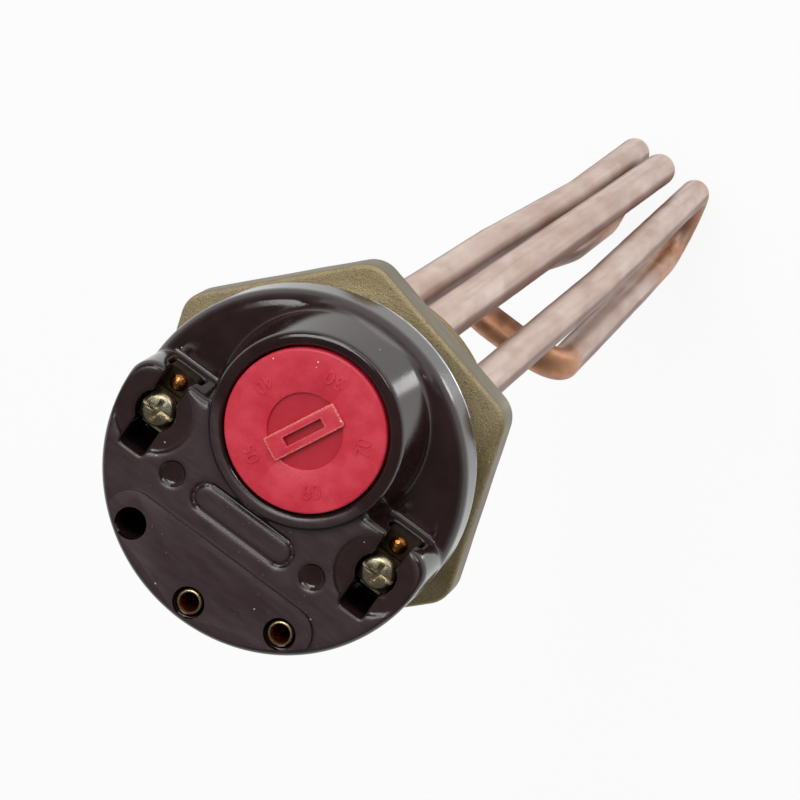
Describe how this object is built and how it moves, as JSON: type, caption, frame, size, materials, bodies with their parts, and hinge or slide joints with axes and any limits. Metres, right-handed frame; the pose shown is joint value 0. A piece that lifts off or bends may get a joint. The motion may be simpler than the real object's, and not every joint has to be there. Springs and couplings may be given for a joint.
{
  "type": "screw plug immersion heater",
  "caption": "Copper rod heater on a brass hexagon screw plug, with a dark moulded control head, a dial knob and screw terminals, for heating water in a tank.",
  "frame": {"origin": "centre of the plug's sealing face, the back of the hexagon", "axes": "+Z out of the tank towards the knob, +X to the head's right, +Y from the crescent pad to the knob"},
  "size_m": [0.077, 0.0764, 0.405],
  "materials": {
    "plug_brass": "sand-cast, dull",
    "terminal_brass": "bright, turned",
    "zinc_plate": "zinc plated",
    "dark_bakelite": "glossy moulded",
    "red_knob": "satin moulded",
    "dull_copper": "drawn, dull",
    "white_ceramic": "unglazed",
    "plated_steel": "plated",
    "spring_bronze": "rolled",
    "braze_metal": "as brazed"
  },
  "bodies": {
    "housing": {"base_plate": "zinc_plate", "braze_ring_left": "braze_metal", "braze_ring_pocket": "braze_metal", "braze_ring_right": "braze_metal", "element_pin_left": "plated_steel", "element_pin_right": "plated_steel", "end_seal_left": "white_ceramic", "end_seal_right": "white_ceramic", "fixed_contact": "terminal_brass", "head_cover": "dark_bakelite", "heating_element": "dull_copper", "hex_plug": "plug_brass", "lead_strap_left": "terminal_brass", "lead_strap_right": "terminal_brass", "lever_pin": "plated_steel", "link_strap": "terminal_brass", "pin_bush_left": "white_ceramic", "pin_bush_right": "white_ceramic", "pin_socket_left": "terminal_brass", "pin_socket_right": "terminal_brass", "plate_screw_1": "plated_steel", "plate_screw_2": "plated_steel", "plate_screw_3": "plated_steel", "rod_pocket": "dull_copper", "sensing_tube": "terminal_brass", "socket_tube_middle": "terminal_brass", "socket_tube_right": "terminal_brass", "switch_bracket": "plated_steel", "terminal_block_left": "terminal_brass", "terminal_block_right": "terminal_brass", "terminal_rivet_left": "terminal_brass", "terminal_rivet_right": "terminal_brass"},
    "knob": {"control_knob": "red_knob", "knob_spindle": "terminal_brass"},
    "clamp_left": {"clamp_washer_left": "terminal_brass"},
    "screw_left": {"terminal_screw_left": "terminal_brass"},
    "clamp_right": {"clamp_washer_right": "terminal_brass"},
    "screw_right": {"terminal_screw_right": "terminal_brass"},
    "rod": {"expansion_rod": "plated_steel"},
    "lever": {"switch_lever": "terminal_brass", "contact_blade": "spring_bronze"}
  },
  "joints": [
    {"name": "knob_turn", "type": "hinge", "parent": "housing", "child": "knob", "pos_m": [0, 0.01265, 0.04], "axis": [0, 0, 1], "range_deg": [-135, 135]},
    {"name": "clamp_left_lift", "type": "slide", "parent": "housing", "child": "clamp_left", "axis": [0, 0, 1], "range_m": [0, 0.002]},
    {"name": "screw_left_turn", "type": "hinge", "parent": "clamp_left", "child": "screw_left", "pos_m": [-0.0266, -0.0031, 0.035], "axis": [0, 0, 1], "range_deg": [0, 1028.57]},
    {"name": "clamp_right_lift", "type": "slide", "parent": "housing", "child": "clamp_right", "axis": [0, 0, 1], "range_m": [0, 0.002]},
    {"name": "screw_right_turn", "type": "hinge", "parent": "clamp_right", "child": "screw_right", "pos_m": [0.0266, -0.0031, 0.035], "axis": [0, 0, 1], "range_deg": [0, 1028.57]},
    {"name": "rod_travel", "type": "slide", "parent": "housing", "child": "rod", "axis": [0, 0, -1], "range_m": [0, 0.0004], "stiffness_N_per_m": 2000, "springref_m": -0.0002},
    {"name": "lever_tilt", "type": "hinge", "parent": "housing", "child": "lever", "pos_m": [0, 0.0054, 0.0234], "axis": [1, 0, 0], "range_deg": [-3.2, 0]}
  ],
  "couplings": [
    {"joint": "screw_left_turn", "follows": "clamp_left_lift", "rad_per_m": 8976},
    {"joint": "screw_right_turn", "follows": "clamp_right_lift", "rad_per_m": 8976},
    {"joint": "lever_tilt", "follows": "rod_travel", "rad_per_m": -137.9}
  ]
}
